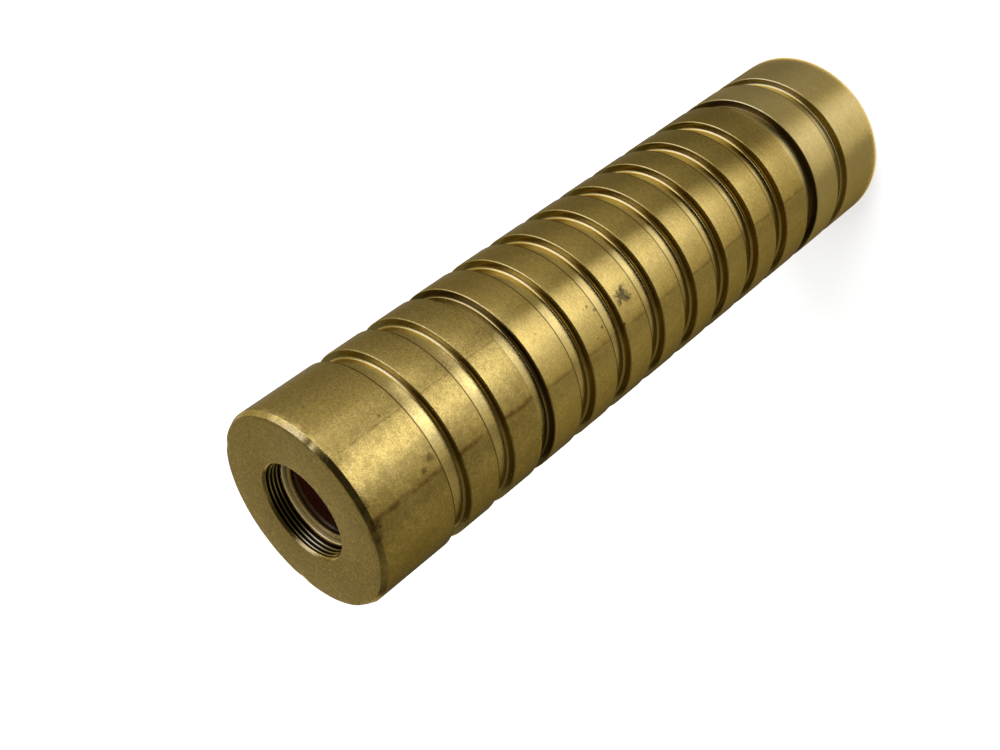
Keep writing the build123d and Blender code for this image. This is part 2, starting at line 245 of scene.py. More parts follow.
cap_seal_low = TUBE_LOW + SEAL_FROM_SHOULDER
cap = lathe("cap_turned", [
    (DISH_R, CAP_LOW, 0.1), (BODY_R - 0.3, CAP_LOW, 0.05), (BODY_R, CAP_LOW + 0.3, 0.05),
    *grooves(CAP_GROOVES, CAP_GROOVE_WIDTH, CAP_GROOVE_R),
    (BODY_R, CAP_SHOULDER, 0.16), (STEP_R, CAP_SHOULDER, 0.1), (STEP_R, TUBE_LOW, 0.05),
    (SPIGOT_R, TUBE_LOW), *seal_groove(cap_seal_low, cap_seal_low + SEAL_WIDTH),
    (SPIGOT_R, CAP_HIGH, 0.15), (POCKET_R, CAP_HIGH), (POCKET_R, SWITCH_BOARD_LOW),
    (SWITCH_ROOM_R, SWITCH_BOARD_LOW), (SWITCH_ROOM_R, CAP_WALL), (BUTTON_HOLE_R, CAP_WALL),
    (BUTTON_HOLE_R, DISH_DEPTH, 0.08)])

cell = lathe("lens_cell_turned", [
    (CELL_R, CELL_LOW, 0.10), (CELL_R, CELL_HIGH, 0.10), (CELL_R - CELL_RIM, CELL_HIGH, 0.10),
    (CELL_R - CELL_RIM, LENS_SEAT), (LENS_SEAT_R, LENS_SEAT), (LENS_SEAT_R, CELL_LOW)])
ring = lathe("lens_ring_turned", [
    (RING_R, RING_LOW), (RING_R, RING_HIGH, 0.04), (RING_HOLE_R, RING_HIGH - 0.04, 0.06),
    (RING_HOLE_R, RING_LOW)])
button = lathe("button_turned", [
    (0.0, BUTTON_LOW), (BUTTON_R, BUTTON_LOW, 0.4), (BUTTON_R, CAP_WALL),
    (BUTTON_FLANGE_R, CAP_WALL, 0.08), (BUTTON_FLANGE_R, BUTTON_HIGH, 0.08),
    (0.0, BUTTON_HIGH)], segments=160, closed=False)


def dome(radius, low, high):
    """Arc points of a lens face from its rim (radius, low) to the axis at height high."""
    count = 14
    sag = high - low
    curve = (radius * radius + sag * sag) / (2 * sag)
    middle = high - curve
    points = []
    for k in range(count + 1):
        r = radius * (1 - k / count)
        z = middle + (1 if curve > 0 else -1) * (curve * curve - r * r) ** 0.5
        points.append((r, z))
    return points


lens = lathe("lens_glass", [
    *reversed(dome(LENS_SEAT_R - 0.08, LENS_SEAT, LENS_BACK)),
    (LENS_R, LENS_SEAT, 0.05), (LENS_R, LENS_FRONT - 0.25, 0.05),
    *dome(LENS_R - 0.10, LENS_FRONT - 0.20, LENS_FRONT + 0.12)], segments=128, closed=False)


def thread(name, root, crest, pitch, low, high, start):
    """Ridge of an inside thread from the angle start, run out into the wall at both ends."""
    per_turn = 144
    turns = (high - low) / pitch
    steps = int(turns * per_turn)
    rings = []
    for k in range(steps + 1):
        turn = radians(start) + 2 * pi * k / per_turn
        z = low + pitch * k / per_turn
        fade = min(1.0, k / (0.2 * per_turn), (steps - k) / (0.12 * per_turn))
        inner = root + 0.02 - (root + 0.02 - crest) * max(fade, 0.02)
        half, tip = 0.44 * pitch * max(fade, 0.05), 0.05 * pitch
        section = [(root + 0.02, z - half), (inner + 0.02, z - tip), (inner, z),
                   (inner + 0.02, z + tip), (root + 0.02, z + half), (root + 0.15, z)]
        rings.append([(r * cos(turn), r * sin(turn), h) for r, h in section])
    vertices = [p for one in rings for p in one]
    n = len(rings[0])
    faces = [tuple(range(n)), tuple(range(len(vertices) - n, len(vertices)))]
    for k in range(len(rings) - 1):
        for i in range(n):
            j = (i + 1) % n
            faces.append((k * n + i, k * n + j, (k + 1) * n + j, (k + 1) * n + i))
    return mesh_object(name, vertices, faces, sharp=50)


port_thread = thread("port_thread", PORT_R, PORT_CREST_R, PORT_PITCH,
                     low=PORT_LOW + 0.03, high=FACE - 0.30, start=158)


def spring(node, wire, turns):
    """Coil in the place of the frame's spring, from its box; wire is the wire's radius in mm."""
    per_turn, around = 48, 12
    lowest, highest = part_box(node)
    radius = highest[0] / MM - wire
    start = lowest[2] / MM + wire
    rise = (highest[2] - lowest[2]) / MM - 2 * wire
    slope = rise / (2 * pi * radius * turns)
    vertices, faces = [], []
    for k in range(turns * per_turn + 1):
        turn = 2 * pi * k / per_turn
        out = Vector((cos(turn), sin(turn), 0))
        side = Vector((-sin(turn), cos(turn), slope)).normalized().cross(out)
        middle = out * radius + Vector((0, 0, start + rise * k / (turns * per_turn)))
        for i in range(around):
            angle = 2 * pi * i / around
            vertices.append(middle + (out * cos(angle) + side * sin(angle)) * wire)
    for k in range(turns * per_turn):
        for i in range(around):
            j = (i + 1) % around
            here, there = k * around, (k + 1) * around
            faces.append((here + i, here + j, there + j, there + i))
    faces += [tuple(range(around)), tuple(range(len(vertices) - around, len(vertices)))]
    return mesh_object(node + "_coil", vertices, faces, sharp=60)


switch_coil = spring("switch_spring", wire=0.18, turns=3)
focus_coil = spring("focus_spring", wire=0.35, turns=3)


# Materials
class Tree:
    """Short names for the nodes that the materials share."""

    def __init__(self, name):
        self.material = bpy.data.materials.new(name)
        self.material.use_nodes = True
        self.nodes = self.material.node_tree.nodes
        self.links = self.material.node_tree.links
        self.nodes.clear()
        self.output = self.nodes.new("ShaderNodeOutputMaterial")
        spot = self.nodes.new("ShaderNodeTexCoord").outputs["Object"]
        self.mm = self.scaled(spot, 1 / MM)
        x, y, z = self.split(self.mm)
        self.x, self.y, self.z = x, y, z
        self.angle = self.math("ARCTAN2", self.math("MULTIPLY", x, -1), self.math("MULTIPLY", y, -1))
        self.radius = self.math("SQRT", self.math("ADD", self.math("MULTIPLY", x, x),
                                                  self.math("MULTIPLY", y, y)))

    def put(self, socket, value):
        if hasattr(value, "is_output"):
            self.links.new(value, socket)
        elif value is not None:
            socket.default_value = value

    def math(self, kind, a, b=None, clamp=False):
        node = self.nodes.new("ShaderNodeMath")
        node.operation, node.use_clamp = kind, clamp
        for socket, value in zip(node.inputs, (a, b)):
            self.put(socket, value)
        return node.outputs[0]

    def scaled(self, vector, scale):
        node = self.nodes.new("ShaderNodeVectorMath")
        node.operation = "SCALE"
        self.put(node.inputs[0], vector)
        node.inputs["Scale"].default_value = scale
        return node.outputs[0]

    def split(self, vector):
        node = self.nodes.new("ShaderNodeSeparateXYZ")
        self.put(node.inputs[0], vector)
        return node.outputs

    def join(self, x, y, z):
        node = self.nodes.new("ShaderNodeCombineXYZ")
        for socket, value in zip(node.inputs, (x, y, z)):
            self.put(socket, value)
        return node.outputs[0]

    def noise(self, where, scale, detail=3.0, rough=0.5, distortion=0.0):
        node = self.nodes.new("ShaderNodeTexNoise")
        self.put(node.inputs["Vector"], where)
        for key, value in (("Scale", scale), ("Detail", detail), ("Roughness", rough),
                           ("Distortion", distortion)):
            node.inputs[key].default_value = value
        return node.outputs[0]

    def spread(self, value, low, high, to_low=0.0, to_high=1.0):
        """value from low..high to to_low..to_high in a soft step, held at the ends."""
        node = self.nodes.new("ShaderNodeMapRange")
        node.interpolation_type = "SMOOTHSTEP"
        for key, number in zip(range(5), (value, low, high, to_low, to_high)):
            self.put(node.inputs[key], number)
        return node.outputs[0]

    def mix(self, share, a, b):
        node = self.nodes.new("ShaderNodeMix")
        node.data_type = "RGBA"
        self.put(node.inputs["Factor"], share)
        for key, value in (("A", a), ("B", b)):
            socket = [s for s in node.inputs if s.name == key and s.type == "RGBA"][0]
            self.put(socket, (*value, 1) if isinstance(value, tuple) else value)
        return [s for s in node.outputs if s.type == "RGBA"][0]

    def bump(self, height, distance, normal=None):
        """Bump of a height from 0 to 1, distance millimetres deep."""
        node = self.nodes.new("ShaderNodeBump")
        node.inputs["Strength"].default_value = 1.0
        node.inputs["Distance"].default_value = distance * MM
        self.put(node.inputs["Height"], height)
        self.put(node.inputs["Normal"], normal)
        return node.outputs[0]

    def shade(self, **sockets):
        node = self.nodes.new("ShaderNodeBsdfPrincipled")
        for key, value in sockets.items():
            value = (*value, 1) if isinstance(value, tuple) and len(value) == 3 else value
            self.put(node.inputs[key.replace("_", " ")], value)
        self.links.new(node.outputs[0], self.output.inputs["Surface"])
        return self.material

    def lines(self, angle, width, gap, low, high):
        """Fine straight scratches on the unrolled side, at an angle to the axis."""
        turn = radians(angle)
        around = self.math("MULTIPLY", self.angle, BODY_R)
        across = self.math("SUBTRACT", self.math("MULTIPLY", around, cos(turn)),
                           self.math("MULTIPLY", self.z, sin(turn)))
        along = self.math("ADD", self.math("MULTIPLY", around, sin(turn)),
                          self.math("MULTIPLY", self.z, cos(turn)))
        where = self.join(self.math("MULTIPLY", across, 1 / width),
                          self.math("MULTIPLY", along, 1 / gap), self.radius)
        return self.spread(self.noise(where, 1.0, 1.0), low, high)


def near(t, value, places, inner, outer):
    """1 where value is within inner of one of the places, 0 beyond outer, in millimetres."""
    away = None
    for place in places:
        gap = t.math("ABSOLUTE", t.math("SUBTRACT", value, place))
        away = gap if away is None else t.math("MINIMUM", away, gap)
    return t.spread(away, inner, outer, 1.0, 0.0)


def brass(name, light=(0.73, 0.505, 0.118), dark=(0.40, 0.25, 0.052), rough=0.28, blotches=0.5,
          marks=0.5, scratches=0.5, grain=0.0, stretch=0.65, metal=1.0, lines=(), cut=None,
          extra=None):
    """Turned brass: rings from the tool, patina in blotches, grit, dots and fine scratches.

    lines are the heights of the grooves' front edges, which get thin dark lines of painted shade; cut
    is the range of heights where what lies inside the outer side is a groove, which hands haven't
    dulled;
    there the insides get a paler tint of painted reflection, and the walls and joints painted shade.
    """
    t = Tree(name)
    along = t.math("ADD", t.z, t.radius)
    rings = t.join(along, t.math("MULTIPLY", t.x, 0.04), t.math("MULTIPLY", t.y, 0.04))
    fine = t.noise(rings, 7.0, 2.0)
    broad = t.noise(rings, 0.9, 2.0)
    cloud = t.noise(t.mm, 0.22, 5.0, 0.62, 0.4)
    mottle = t.noise(t.mm, 0.9, 4.0, 0.62, 0.3)
    grit = t.noise(t.mm, 2.6, 4.0, 0.72)
    dots = t.spread(t.noise(t.mm, 2.1, 3.0, 0.6), 0.66, 0.74)
    speck = t.noise(t.mm, 6.5, 4.0, 0.72)
    pits = t.spread(t.noise(t.mm, 4.2, 2.0, 0.5), 0.67, 0.73)
    patina = t.math("MULTIPLY", t.math("ADD", t.spread(cloud, 0.36, 0.66, 0.0, 0.35),
                                       t.spread(mottle, 0.42, 0.66, 0.0, 0.45)), blotches, clamp=True)
    roughness = t.math("ADD", t.spread(patina, 0.0, 1.0, rough - 0.03, rough + 0.10),
                       t.math("MULTIPLY", t.math("SUBTRACT", fine, 0.5), 0.12 * marks))
    if cut:
        inside = t.math("MULTIPLY", t.spread(t.radius, BODY_R - 0.14, BODY_R - 0.05, 1.0, 0.0),
                        t.math("MULTIPLY", t.spread(t.z, cut[0], cut[0] + 0.2),
                               t.spread(t.z, cut[1] - 0.2, cut[1], 1.0, 0.0)))
        bevel = t.math("MULTIPLY", t.spread(t.z, BEVEL_LOW - 0.06, BEVEL_LOW + 0.02),
                       t.spread(t.z, FACE - 0.07, FACE - 0.01, 1.0, 0.0))
        patina = t.math("MULTIPLY", patina, t.spread(inside, 0.0, 1.0, 1.0, 0.7))
        smoother = t.spread(t.math("MAXIMUM", inside, bevel), 0.0, 1.0, 0.0, -0.11)
        roughness = t.math("ADD", roughness, smoother)
    colour = t.mix(patina, light, dark)
    colour = t.mix(t.math("MULTIPLY", t.spread(broad, 0.3, 0.7), 0.3 * marks), colour,
                   tuple(0.72 * c for c in light))
    colour = t.mix(t.math("MULTIPLY", t.spread(fine, 0.35, 0.65), 0.2 * marks), colour,
                   tuple(0.5 * c for c in light))
    colour = t.mix(t.spread(grit, 0.38, 0.64, 0.0, 0.75 * blotches), colour,
                   tuple(0.50 * c for c in light))
    colour = t.mix(t.spread(speck, 0.45, 0.58, 0.0, 0.95 * blotches), colour,
                   tuple(0.46 * c for c in light))
    colour = t.mix(t.math("MULTIPLY", pits, 0.7 * blotches), colour, tuple(0.40 * c for c in dark))
    colour = t.mix(t.math("MULTIPLY", dots, 0.8 * blotches), colour, tuple(0.35 * c for c in dark))
    first = t.lines(28, 0.10, 7.0, 0.70, 0.78)
    second = t.lines(-52, 0.08, 5.0, 0.72, 0.80)
    third = t.lines(84, 0.09, 9.0, 0.70, 0.78)
    scratch = t.math("MAXIMUM", t.math("MAXIMUM", first, second), third)
    colour = t.mix(t.math("MULTIPLY", scratch, 0.55 * scratches), colour, (0.86, 0.68, 0.30))
    if lines:
        # Painted shade: a thin dark line just behind the front edge of each groove
        outside = t.spread(t.radius, BODY_R - 0.20, BODY_R - 0.14)
        edge = t.math("MULTIPLY", near(t, t.z, [z + 0.10 for z in lines], 0.06, 0.15), outside)
        colour = t.mix(t.math("MULTIPLY", edge, 0.85), colour, (0.10, 0.055, 0.012))
    if cut:
        # Painted reflection: the insides of the grooves are tinted paler. Painted shade: their walls
        # are darkened
        wall = t.math("MULTIPLY", inside, t.spread(t.radius, CAP_GROOVE_R + 0.02, CAP_GROOVE_R + 0.12))
        colour = t.mix(t.math("MULTIPLY", inside, 0.25), colour, (0.88, 0.68, 0.25))
        colour = t.mix(t.math("MULTIPLY", wall, 0.65), colour, (0.30, 0.25, 0.07))
        # Painted shade: near-black lines inside the grooves at the joints between parts and at the
        # cap's step
        seams = (TUBE_HIGH - 0.05, TUBE_LOW, CAP_SHOULDER)
        seam = t.math("MULTIPLY", near(t, t.z, seams, 0.08, 0.30), inside)
        colour = t.mix(t.math("MULTIPLY", seam, 0.75), colour, (0.05, 0.03, 0.01))
    height = t.math("ADD", t.math("MULTIPLY", fine, 0.7), t.math("MULTIPLY", broad, 0.5))
    normal = t.bump(height, 0.004 * marks)
    normal = t.bump(grit, 0.016 * blotches, normal=normal)
    normal = t.bump(speck, 0.012 * blotches, normal=normal)
    normal = t.bump(scratch, 0.003 * scratches, normal=normal)
    if grain:
        normal = t.bump(t.noise(t.mm, 9.0, 2.0), 0.02 * grain, normal=normal)
    if extra:
        colour, roughness, normal = extra(t, colour, roughness, normal)
    tangent = t.nodes.new("ShaderNodeTangent")
    tangent.direction_type, tangent.axis = "RADIAL", "Z"
    return t.shade(Base_Color=colour, Metallic=metal, Roughness=roughness, Normal=normal,
                   Specular_Tint=(1.0, 0.88, 0.62), Anisotropic=stretch, Anisotropic_Rotation=0.25,
                   Tangent=tangent.outputs[0])


def streak(t, colour, at, width, depth, tone=(0.24, 0.125, 0.026)):
    """Brown tarnish that runs along the outside; at is its distance round it in millimetres."""
    waver = t.math("MULTIPLY", t.math("SUBTRACT", t.noise(t.join(t.z, 0, 0), 0.30, 3.0), 0.5), 0.45)
    around = t.math("ADD", t.math("MULTIPLY", t.angle, BODY_R), waver)
    fray = t.math("MULTIPLY", t.math("SUBTRACT", t.noise(t.mm, 2.2, 4.0, 0.7), 0.5), 1.1 * width)
    away = t.math("ADD", t.math("ABSOLUTE", t.math("SUBTRACT", around, at)), fray)
    patchy = t.spread(t.noise(t.mm, 0.9, 4.0, 0.65), 0.34, 0.58, 0.2, 1.0)
    mask = t.math("MULTIPLY", t.spread(away, 0.1 * width, width, depth, 0.0), patchy)
    return t.mix(t.math("MULTIPLY", mask, t.spread(t.radius, BODY_R - 0.2, BODY_R - 0.1)), colour, tone)


def spots(t, colour, roughness, places, tone):
    """Ragged dark spots on the side: distance round it, height and size in mm, and strength."""
    outer = t.spread(t.radius, BODY_R - 0.45, BODY_R - 0.35)
    around = t.math("MULTIPLY", t.angle, BODY_R)
    wobble = t.math("MULTIPLY", t.math("SUBTRACT", t.noise(t.mm, 1.9, 5.0, 0.8), 0.5), 3.2)
    for place, height, size, depth in places:
        across = t.math("MULTIPLY", t.math("SUBTRACT", around, place), 1.3)
        along = t.math("SUBTRACT", t.z, height)
        away = t.math("SQRT", t.math("ADD", t.math("MULTIPLY", across, across),
                                     t.math("MULTIPLY", along, along)))
        away = t.math("ADD", away, t.math("MULTIPLY", wobble, size))
        mask = t.math("MULTIPLY", t.spread(away, 0.25 * size, 1.1 * size, depth, 0.0), outer)
        colour = t.mix(mask, colour, tone)
        roughness = t.math("ADD", roughness, t.math("MULTIPLY", mask, 0.25))
    return colour, roughness


def stain(t, colour, roughness, normal):
    """Dark stain and specks in front of the fifth groove of the tube, and a faint streak."""
    colour, roughness = spots(t, colour, roughness, (
        (2.0, 52.5, 1.15, 0.85), (2.7, 51.9, 0.65, 0.8), (2.5, 53.3, 0.60, 0.8), (1.2, 52.0, 0.50, 0.7),
        (5.0, 54.0, 0.30, 0.9), (1.5, 56.9, 0.35, 0.6), (0.7, 57.6, 0.25, 0.6), (3.6, 57.2, 0.25, 0.6),
        (4.4, 58.4, 0.2, 0.6)), (0.10, 0.072, 0.03))
    return streak(t, colour, 5.4, 0.35, 0.45), roughness, normal


def head_marks(t, colour, roughness, normal):
    """Tarnish streak and the fine line above it, dirt at the front edge, and painted shade at the roots
    of the port's thread.
    """
    colour = streak(t, colour, 5.1, 0.50, 0.85)
    colour = streak(t, colour, -2.45, 0.14, 0.6)
    colour, roughness = spots(t, colour, roughness, (
        (3.4, 93.6, 0.7, 0.7), (5.6, 93.4, 0.9, 0.8), (7.2, 93.7, 0.6, 0.6), (3.3, 84.6, 0.7, 0.6),
        (4.1, 85.9, 0.5, 0.5), (-3.1, 86.3, 0.25, 0.6)), (0.13, 0.08, 0.02))
    return thread_wear_and_shade(t, colour, roughness, normal)


def thread_wear_and_shade(t, colour, roughness, normal):
    """Painted shade: near black at the roots of the port's thread; the crests are rubbed pale."""
    port = t.math("MULTIPLY", t.spread(t.radius, PORT_R + 0.02, PORT_R + 0.12, 1.0, 0.0),
                  t.spread(t.z, PORT_LOW - 0.35, PORT_LOW - 0.15))
    port = t.math("MULTIPLY", port, t.spread(t.z, FACE - 0.46, FACE - 0.32, 1.0, 0.0))
    colour = t.mix(port, colour, (0.62, 0.46, 0.14))
    # Painted shade: the roots of the thread are painted near black
    root = t.math("MULTIPLY", port, t.spread(t.radius, PORT_R - 0.24, PORT_R - 0.14))
    colour = t.mix(t.math("MULTIPLY", root, 0.97), colour, (0.012, 0.009, 0.006))
    return colour, roughness, normal


brass_head = brass("head_brass_worn_and_shaded", blotches=0.75, rough=0.28, scratches=0.8,
                   lines=[low + GROOVE_WIDTH for low in HEAD_GROOVES],
                   cut=(TUBE_HIGH - 0.1, PORT_LOW + 0.05), extra=head_marks)
brass_tube = brass("tube_brass_worn_and_shaded", blotches=0.45, rough=0.26,
                   lines=[low + GROOVE_WIDTH for low in TUBE_GROOVES],
                   cut=(TUBE_LOW - 0.1, TUBE_HIGH + 0.5), extra=stain)
brass_cap = brass("cap_brass_worn_and_shaded", light=(0.88, 0.645, 0.20), dark=(0.56, 0.39, 0.11),
                  blotches=0.3, rough=0.36, lines=[low + CAP_GROOVE_WIDTH for low in CAP_GROOVES],
                  cut=(CAP_LOW + 1, TUBE_LOW + 0.2))
brass_inner = brass("inner_brass_cut", blotches=0.25, rough=0.24, marks=0.8, scratches=0.2)
brass_thread = brass("thread_brass_worn_and_shaded", blotches=0.3, rough=0.30, marks=0.3, scratches=0.0,
                     extra=thread_wear_and_shade)
brass_button = brass("button_brass_worn", light=(0.74, 0.54, 0.18), blotches=0.35, rough=0.30)


def cell_joint_shade(t, colour, roughness, normal):
    """Painted shade: a dark line where the ring sits in the lens cell."""
    rim_r = CELL_R - CELL_RIM
    joint = t.math("MULTIPLY", t.spread(t.radius, rim_r - 0.03, rim_r + 0.02, 1.0, 0.0),
                   t.spread(t.radius, RING_R - 0.15, RING_R - 0.08))
    low_part = t.spread(t.z, CELL_HIGH - 0.14, CELL_HIGH - 0.06, 1.0, 0.0)
    joint = t.math("MULTIPLY", joint, low_part)
    # Painted shade in the joint between ring and cell
    colour = t.mix(t.math("MULTIPLY", joint, 0.97), colour, (0.03, 0.022, 0.01))
    return colour, roughness, normal


brass_cell = brass("cell_brass_pale", light=(0.95, 0.75, 0.33), dark=(0.72, 0.54, 0.21),
                   blotches=0.2, rough=0.24, marks=0.3, scratches=0.0, metal=0.6, extra=cell_joint_shade)
brass_ring = brass("ring_brass_grained", light=(0.82, 0.59, 0.18), dark=(0.52, 0.36, 0.09),
                   blotches=0.8, rough=0.42, marks=0.2, scratches=0.0, grain=1.6, stretch=0.0,
                   metal=0.8, extra=cell_joint_shade)


def plain(name, base, second, scale=3, rough=0.5, metallic=0.0, bump=0.006):
    """Two tones of one colour in fine noise, with matching roughness and bump."""
    t = Tree(name)
    tone = t.noise(t.mm, scale, 4.0, 0.6)
    fine = t.noise(t.mm, scale * 6, 2.0)
    colour = t.mix(t.spread(tone, 0.3, 0.7), base, second)
    roughness = t.spread(fine, 0.3, 0.7, rough - 0.06, rough + 0.08)
    return t.shade(Base_Color=colour, Metallic=metallic, Roughness=roughness,
                   Normal=t.bump(fine, bump))


def coated_glass(name):
    """Dark red coated glass with a little dust."""
    t = Tree(name)
    tone = t.noise(t.mm, 0.8, 3.0, 0.5, 0.5)
    colour = t.mix(t.spread(tone, 0.3, 0.7), (0.013, 0.0022, 0.0014), (0.008, 0.0016, 0.0010))
    dust = t.spread(t.noise(t.mm, 6.0, 2.0), 0.62, 0.75, 0.12, 0.30)
    return t.shade(Base_Color=colour, Roughness=dust, Specular_IOR_Level=0.15)


MATERIALS = {
    "spring_steel": plain("spring_steel_wire", (0.62, 0.62, 0.63), (0.45, 0.45, 0.47),
                          rough=0.28, metallic=1.0, bump=0.004),
    "diode_steel": plain("diode_steel_plated", (0.70, 0.66, 0.55), (0.58, 0.53, 0.42),
                         rough=0.25, metallic=1.0, bump=0.003),
    "clear_glass": plain("clear_glass_window", (0.9, 0.95, 0.95), (0.8, 0.9, 0.9),
                         rough=0.1, bump=0.001),
    "board_green": plain("board_green_mask", (0.02, 0.13, 0.05), (0.015, 0.09, 0.035),
                         scale=2, rough=0.4),
    "ferrite": plain("ferrite_grey", (0.06, 0.06, 0.065), (0.035, 0.035, 0.04),
                     scale=4, rough=0.6, bump=0.012),
    "chip_black": plain("chip_black_moulded", (0.02, 0.02, 0.022), (0.035, 0.035, 0.035),
                        scale=5, rough=0.55, bump=0.008),
    "capacitor_tan": plain("capacitor_tan_fired", (0.36, 0.25, 0.15), (0.28, 0.19, 0.11), scale=4),
    "seal_rubber": plain("seal_rubber_black", (0.018, 0.018, 0.019), (0.03, 0.03, 0.03),
                         rough=0.62, bump=0.01),
    "cell_sleeve": plain("cell_sleeve_film", (0.05, 0.10, 0.30), (0.04, 0.08, 0.24),
                         scale=0.6, rough=0.32, bump=0.004),
    "switch_black": plain("switch_black_moulded", (0.02, 0.02, 0.02), (0.04, 0.04, 0.04), bump=0.01),
    "plunger_white": plain("plunger_white_moulded", (0.72, 0.71, 0.66), (0.62, 0.61, 0.56),
                           scale=2, rough=0.45),
    "inner_brass": brass_inner,
    "contact_brass": brass_inner,
    "mount_brass": brass_inner,
    "coated_glass": coated_glass("coated_glass_lens"),
}

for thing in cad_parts.values():
    for entry in thing.material_slots:
        slot_name = entry.material.name.split(".")[0] if entry.material else ""
        if slot_name in MATERIALS:
            entry.material = MATERIALS[slot_name]

for piece, body, node, material, slot in (
        (head, "barrel", "head", brass_head, "head_brass"),
        (tube, "barrel", "battery_tube", brass_tube, "tube_brass"),
        (cap, "cap", "tail_cap", brass_cap, "cap_brass"),
        (cell, "lens_barrel", "lens_cell", brass_cell, "inner_brass"),
        (ring, "lens_barrel", "lens_ring", brass_ring, "inner_brass"),
        (lens, "lens", "collimating_lens", MATERIALS["coated_glass"], "coated_glass"),
        (button, "button", "tail_button", brass_button, "button_brass"),
        (port_thread, "barrel", None, brass_thread, "head_brass")):
    piece.data.materials.append(material)
    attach(piece, body)
    if node:
        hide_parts(node)


# Each spring is listed with the body that it stands on and the one that it pushes; the coil stays where
# it is built
for coil, node, first, second in ((switch_coil, "switch_spring", "button", "cap"),
                                  (focus_coil, "focus_spring", "barrel", "lens")):
    coil.data.materials.append(MATERIALS["spring_steel"])
    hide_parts(node)
    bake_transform(coil)


# Floor, cards and lamp
FLOOR_HALF = 4000


def shown_white(name, diffuse, strength):
    """Diffuse surface that also shows as white to the camera, to mirrors and through glass."""
    material = bpy.data.materials.new(name)
    material.use_nodes = True
    nodes, links = material.node_tree.nodes, material.node_tree.links
    nodes.clear()
    output = nodes.new("ShaderNodeOutputMaterial")
    surface = nodes.new("ShaderNodeBsdfDiffuse")
    surface.inputs["Color"].default_value = (*diffuse, 1)
    light = nodes.new("ShaderNodeEmission")
    rays = nodes.new("ShaderNodeLightPath")
    total = rays.outputs["Is Camera Ray"]
    for key in ("Is Glossy Ray", "Is Transmission Ray"):
        node = nodes.new("ShaderNodeMath")
        node.operation = "MAXIMUM"
        links.new(total, node.inputs[0])
        links.new(rays.outputs[key], node.inputs[1])
        total = node.outputs[0]
    scale = nodes.new("ShaderNodeMath")
    scale.operation = "MULTIPLY"
    links.new(total, scale.inputs[0])
    scale.inputs[1].default_value = strength
    links.new(scale.outputs[0], light.inputs["Strength"])
    add = nodes.new("ShaderNodeAddShader")
    links.new(surface.outputs[0], add.inputs[0])
    links.new(light.outputs[0], add.inputs[1])
    links.new(add.outputs[0], output.inputs["Surface"])
    return material


floor = mesh_object("floor", [(x * FLOOR_HALF, y * FLOOR_HALF, 0)
                              for x, y in ((-1, -1), (1, -1), (1, 1), (-1, 1))], [(0, 1, 2, 3)])
floor.data.materials.append(shown_white("floor_white", (0.80, 0.80, 0.80), 0.35))

world = bpy.data.worlds.new("studio")
scene.world = world
world.use_nodes = True
background = world.node_tree.nodes["Background"]
background.inputs["Color"].default_value = (1, 1, 1, 1)
background.inputs["Strength"].default_value = 0.85


def glow(name):
    """Light of strength 1, whose colour is linked in later."""
    material = bpy.data.materials.new(name)
    material.use_nodes = True
    nodes, links = material.node_tree.nodes, material.node_tree.links
    nodes.clear()
    light = nodes.new("ShaderNodeEmission")
    light.inputs["Strength"].default_value = 1.0
    links.new(light.outputs[0], nodes.new("ShaderNodeOutputMaterial").inputs["Surface"])
    return material


def facing(azimuth):
    """Direction on the floor; azimuth 0 is towards the camera, and grows towards -X."""
    return -sin(radians(azimuth)), -cos(radians(azimuth))


def between(table, x):
    """Value at x on the straight lines through the points of a table, held at the ends."""
    for (a, low), (b, high) in zip(table, table[1:]):
        if x <= b:
            return low + (high - low) * max(0.0, (x - a) / (b - a))
    return table[-1][1]


def graded(name, grid, levels, warm):
    """Studio card that only shows as a reflection in metal, from rows of points and their levels.

    What is bright on it is slightly cooler than what is dim; warm points have less blue.
    """
    rows = len(grid[0])
    faces = [(i * rows + k, i * rows + k + 1, (i + 1) * rows + k + 1, (i + 1) * rows + k)
             for i in range(len(grid) - 1) for k in range(rows - 1)]
    made = mesh_object(name, [p for row in grid for p in row], faces, weld=False)
    made.data.materials.append(glow(name + "_light"))
    colours = []
    for row, tints in zip(levels, warm):
        for level, tint in zip(row, tints):
            cool = min(1.0, max(0.0, (level - 0.55) / 0.5))
            colours += [level, level * (1 + 0.08 * cool) * (1 - 0.12 * tint),
                        level * (1 + 0.52 * cool) * (1 - tint), 1.0]
    stored = made.data.attributes.new("light", "FLOAT_COLOR", "POINT")
    stored.data.foreach_set("color", colours)
    tree = made.data.materials[0].node_tree
    read = tree.nodes.new("ShaderNodeAttribute")
    read.attribute_name = "light"
    tree.links.new(read.outputs["Color"], tree.nodes["Emission"].inputs["Color"])
    for ray in ("camera", "diffuse", "transmission", "volume_scatter", "shadow"):
        setattr(made, "visible_" + ray, False)
    return made


CARD_START = BODY_R + 0.2
CARD_REACH = 1000
# Brightness that the side mirrors at each angle round it, in tables from the cap to the head
TUBE_SEES = ((-90, 0.38), (-80, 0.27), (-72, 0.22), (-60, 0.20), (-50, 0.20), (-40, 0.29), (-30, 0.38),
             (-20, 0.31), (-14.5, 0.31), (-12, 0.95), (-5, 1.35), (0, 1.55), (5, 1.32), (10, 0.97),
             (17, 0.75), (24, 0.60), (27, 0.34), (33, 0.35), (40, 0.40), (50, 0.33), (60, 0.26),
             (70, 0.17), (80, 0.10), (90, 0.12))
REAR_SEES = ((-90, 0.36), (-80, 0.27), (-72, 0.25), (-60, 0.23), (-50, 0.20), (-40, 0.24), (-30, 0.29),
             (-20, 0.28), (-14.5, 0.27), (-12, 0.36), (-5, 0.92), (0, 1.36), (5, 1.24), (10, 1.02),
             (17, 0.86), (24, 0.70), (27, 0.42), (33, 0.40), (40, 0.44), (50, 0.38), (60, 0.32),
             (70, 0.24), (80, 0.17), (90, 0.16))
